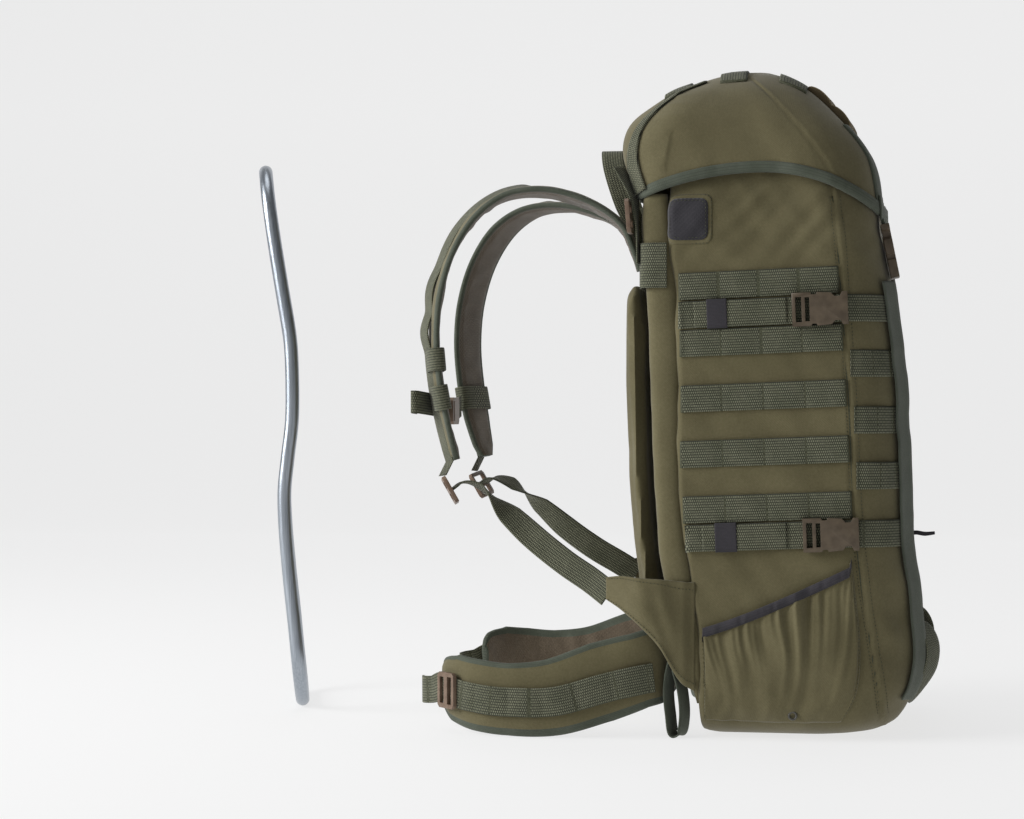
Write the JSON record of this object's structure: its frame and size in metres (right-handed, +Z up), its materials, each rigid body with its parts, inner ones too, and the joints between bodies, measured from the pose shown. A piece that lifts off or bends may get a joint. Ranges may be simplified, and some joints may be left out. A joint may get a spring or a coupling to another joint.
{
  "type": "external frame backpack with its frame taken out",
  "caption": "Olive cloth rucksack with domed lid, webbing rows, padded straps and hip belt, with its bent tube frame beside it.",
  "frame": {"origin": "middle of the flat base that the bag stands on, on the floor", "axes": "+Z up, +X away from the wearer's back, -Y to the wearer's left, millimetres in the source"},
  "size_m": [0.707, 0.3354, 0.629],
  "materials": {
    "olive_cloth": "matt woven olive cloth",
    "lining_cloth": "matt brown spacer cloth with olive edge tape",
    "webbing": "ribbed olive webbing",
    "dark_tape": "dark brown hook and loop tape",
    "buckle_plastic": "satin tan brown plastic",
    "steel_tube": "satin steel tube"
  },
  "bodies": {
    "root": {"bag_body": "olive_cloth", "lid": "olive_cloth", "edge_roll_left": "olive_cloth", "edge_roll_right": "olive_cloth", "back_pad": "olive_cloth", "yoke_band": "webbing", "shoulder_pad_left": "lining_cloth", "shoulder_pad_right": "lining_cloth", "shoulder_webbing_left": "webbing", "shoulder_webbing_right": "webbing", "shoulder_slider_left": "buckle_plastic", "shoulder_slider_right": "buckle_plastic", "lower_strap_left": "webbing", "lower_strap_right": "webbing", "wing_left": "olive_cloth", "wing_right": "olive_cloth", "strap_keeper_left": "webbing", "strap_keeper_right": "webbing", "chest_strap": "webbing", "chest_buckle": "buckle_plastic", "haul_loop": "webbing", "lid_strap_left": "webbing", "lid_strap_right": "webbing", "lid_slider_left": "buckle_plastic", "lid_slider_right": "buckle_plastic", "hip_belt": "olive_cloth", "belt_webbing_left": "webbing", "belt_webbing_right": "webbing", "belt_slider_left": "buckle_plastic", "belt_slider_right": "buckle_plastic", "base_loop_left": "webbing", "base_loop_right": "webbing", "side_webbing_1_left": "webbing", "side_webbing_1_right": "webbing", "side_webbing_2_left": "webbing", "side_webbing_2_right": "webbing", "side_webbing_3_left": "webbing", "side_webbing_3_right": "webbing", "side_webbing_4_left": "webbing", "side_webbing_4_right": "webbing", "side_webbing_5_left": "webbing", "side_webbing_5_right": "webbing", "side_strap_upper_left": "webbing", "side_strap_upper_right": "webbing", "side_strap_lower_left": "webbing", "side_strap_lower_right": "webbing", "side_buckle_upper_left": "buckle_plastic", "side_buckle_upper_right": "buckle_plastic", "side_buckle_lower_left": "buckle_plastic", "side_buckle_lower_right": "buckle_plastic", "side_pocket_left": "olive_cloth", "side_pocket_right": "olive_cloth", "front_strap_left": "webbing", "front_strap_right": "webbing", "lid_buckle_left": "buckle_plastic", "lid_buckle_right": "buckle_plastic", "side_patch": "dark_tape", "frame_tube": "steel_tube"}
  },
  "joints": []
}
